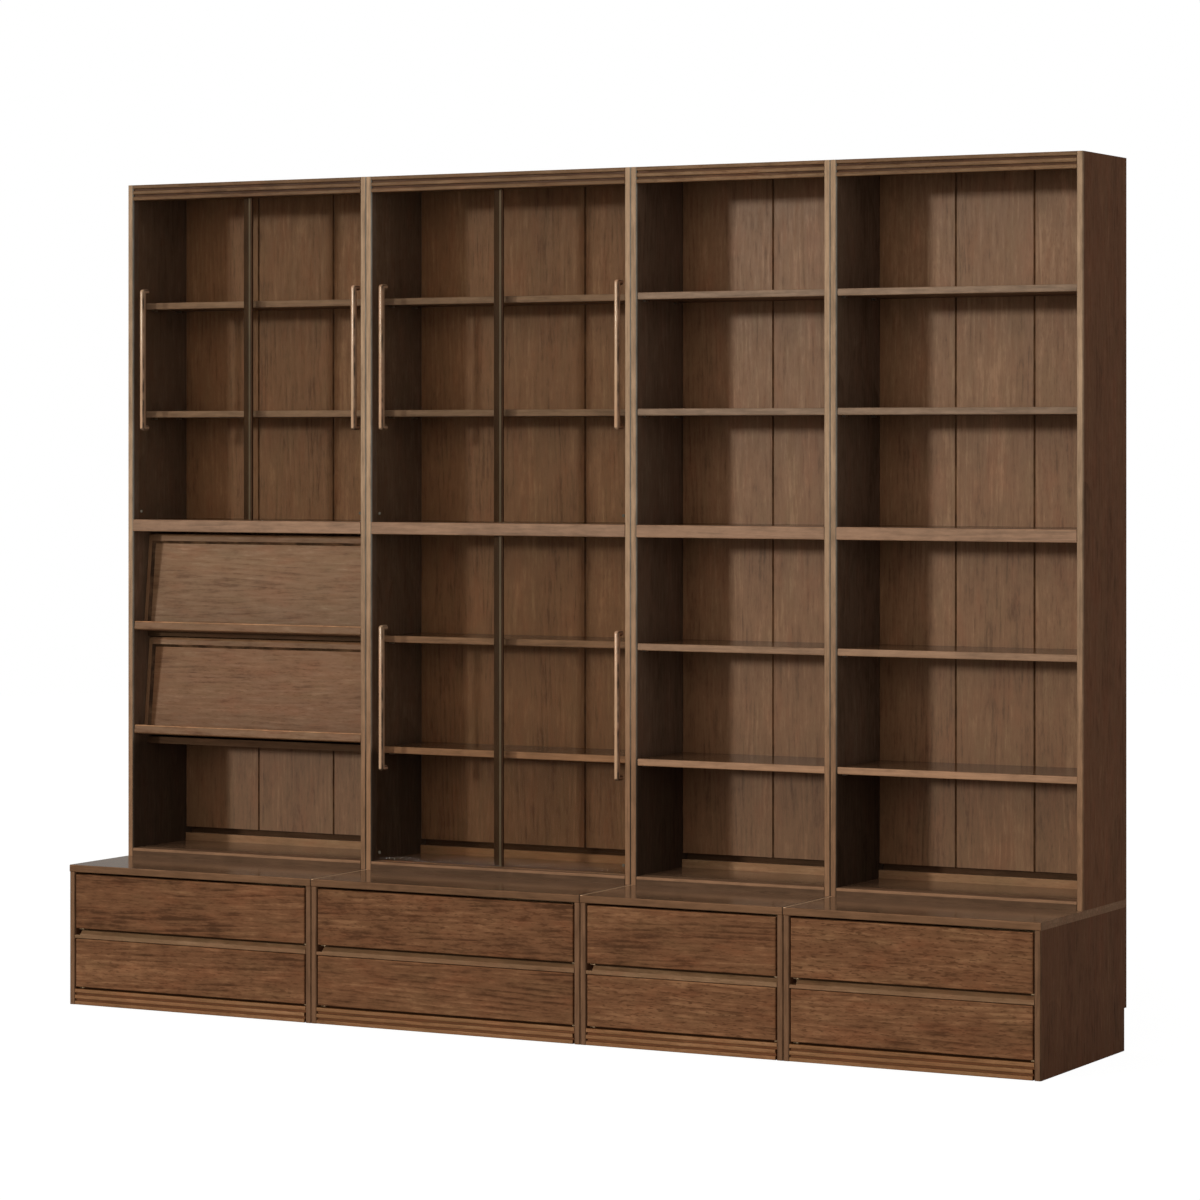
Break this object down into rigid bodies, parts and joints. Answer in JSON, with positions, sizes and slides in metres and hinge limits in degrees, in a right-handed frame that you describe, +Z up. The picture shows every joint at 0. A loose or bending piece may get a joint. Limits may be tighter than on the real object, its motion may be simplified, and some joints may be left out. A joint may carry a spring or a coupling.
{
  "type": "bookcase with bottom drawers",
  "caption": "Modular walnut-brown bookcase: shallow upper cases with open shelves, sliding glass doors and tilting display flaps on a deeper drawer base.",
  "frame": {"origin": "middle of the footprint, on the floor", "axes": "+X to the right along the bookcase, +Y to the wall, +Z up; the drawers open towards -Y"},
  "size_m": [2.78, 0.56, 2.2],
  "materials": {
    "walnut_upright": "satin, grain upright",
    "walnut_level": "satin, grain level",
    "walnut_back": "satin, grain upright",
    "drawer_wood": "matt, plain",
    "handle_wood": "oiled, rounded",
    "glass": "clear, faint warm tint",
    "steel": "bronzed"
  },
  "bodies": {
    "carcass": {"base_side_panels": "walnut_upright", "base_tops": "walnut_level", "base_bottoms": "drawer_wood", "base_backs": "drawer_wood", "plinths": "walnut_level", "divider_rails": "walnut_level", "drawer_runners": "drawer_wood", "drawer_stops": "drawer_wood", "upper_side_panels": "walnut_upright", "case_bottoms": "walnut_level", "fixed_shelves": "walnut_level", "case_tops": "walnut_level", "cornices": "walnut_level", "door_head_rails": "walnut_level", "back_boards_one": "walnut_back", "back_boards_two": "walnut_back", "back_boards_three": "walnut_back", "back_boards_four": "walnut_back", "cable_rails": "walnut_level", "cable_covers": "drawer_wood", "open_shelves": "walnut_level", "glazed_shelves": "walnut_level", "flap_shelves": "walnut_level", "shelf_supports": "steel", "flap_hinge_pins": "steel", "flap_stops": "drawer_wood"},
    "drawer_one_upper": {"drawer_one_upper_front": "walnut_level", "drawer_one_upper_box": "drawer_wood"},
    "drawer_one_lower": {"drawer_one_lower_front": "walnut_level", "drawer_one_lower_box": "drawer_wood"},
    "drawer_two_upper": {"drawer_two_upper_front": "walnut_level", "drawer_two_upper_box": "drawer_wood"},
    "drawer_two_lower": {"drawer_two_lower_front": "walnut_level", "drawer_two_lower_box": "drawer_wood"},
    "drawer_three_upper": {"drawer_three_upper_front": "walnut_level", "drawer_three_upper_box": "drawer_wood"},
    "drawer_three_lower": {"drawer_three_lower_front": "walnut_level", "drawer_three_lower_box": "drawer_wood"},
    "drawer_four_upper": {"drawer_four_upper_front": "walnut_level", "drawer_four_upper_box": "drawer_wood"},
    "drawer_four_lower": {"drawer_four_lower_front": "walnut_level", "drawer_four_lower_box": "drawer_wood"},
    "door_one_upper_left": {"glass_door_one_upper_left": "glass", "handle_one_upper_left": "handle_wood"},
    "door_one_upper_right": {"glass_door_one_upper_right": "glass", "handle_one_upper_right": "handle_wood"},
    "door_two_upper_left": {"glass_door_two_upper_left": "glass", "handle_two_upper_left": "handle_wood"},
    "door_two_upper_right": {"glass_door_two_upper_right": "glass", "handle_two_upper_right": "handle_wood"},
    "door_two_lower_left": {"glass_door_two_lower_left": "glass", "handle_two_lower_left": "handle_wood"},
    "door_two_lower_right": {"glass_door_two_lower_right": "glass", "handle_two_lower_right": "handle_wood"},
    "flap_upper": {"flap_upper_frame": "walnut_level", "flap_upper_panel": "walnut_level", "flap_upper_ledge": "walnut_level"},
    "flap_lower": {"flap_lower_frame": "walnut_level", "flap_lower_panel": "walnut_level", "flap_lower_ledge": "walnut_level"}
  },
  "joints": [
    {"name": "drawer_one_upper_slide", "type": "slide", "parent": "carcass", "child": "drawer_one_upper", "axis": [0, -1, 0], "range_m": [0, 0.36]},
    {"name": "drawer_one_lower_slide", "type": "slide", "parent": "carcass", "child": "drawer_one_lower", "axis": [0, -1, 0], "range_m": [0, 0.36]},
    {"name": "drawer_two_upper_slide", "type": "slide", "parent": "carcass", "child": "drawer_two_upper", "axis": [0, -1, 0], "range_m": [0, 0.36]},
    {"name": "drawer_two_lower_slide", "type": "slide", "parent": "carcass", "child": "drawer_two_lower", "axis": [0, -1, 0], "range_m": [0, 0.36]},
    {"name": "drawer_three_upper_slide", "type": "slide", "parent": "carcass", "child": "drawer_three_upper", "axis": [0, -1, 0], "range_m": [0, 0.36]},
    {"name": "drawer_three_lower_slide", "type": "slide", "parent": "carcass", "child": "drawer_three_lower", "axis": [0, -1, 0], "range_m": [0, 0.36]},
    {"name": "drawer_four_upper_slide", "type": "slide", "parent": "carcass", "child": "drawer_four_upper", "axis": [0, -1, 0], "range_m": [0, 0.36]},
    {"name": "drawer_four_lower_slide", "type": "slide", "parent": "carcass", "child": "drawer_four_lower", "axis": [0, -1, 0], "range_m": [0, 0.36]},
    {"name": "door_one_upper_left_slide", "type": "slide", "parent": "carcass", "child": "door_one_upper_left", "axis": [1, 0, 0], "range_m": [0, 0.31]},
    {"name": "door_one_upper_right_slide", "type": "slide", "parent": "carcass", "child": "door_one_upper_right", "axis": [1, 0, 0], "range_m": [-0.31, 0]},
    {"name": "door_two_upper_left_slide", "type": "slide", "parent": "carcass", "child": "door_two_upper_left", "axis": [1, 0, 0], "range_m": [0, 0.325]},
    {"name": "door_two_upper_right_slide", "type": "slide", "parent": "carcass", "child": "door_two_upper_right", "axis": [1, 0, 0], "range_m": [-0.325, 0]},
    {"name": "door_two_lower_left_slide", "type": "slide", "parent": "carcass", "child": "door_two_lower_left", "axis": [1, 0, 0], "range_m": [0, 0.325]},
    {"name": "door_two_lower_right_slide", "type": "slide", "parent": "carcass", "child": "door_two_lower_right", "axis": [1, 0, 0], "range_m": [-0.325, 0]},
    {"name": "flap_upper_hinge", "type": "hinge", "parent": "carcass", "child": "flap_upper", "pos_m": [-1.01, 0.074, 1.24], "axis": [-1, 0, 0], "range_deg": [0, 80]},
    {"name": "flap_lower_hinge", "type": "hinge", "parent": "carcass", "child": "flap_lower", "pos_m": [-1.01, 0.074, 0.95733], "axis": [-1, 0, 0], "range_deg": [0, 80]}
  ]
}
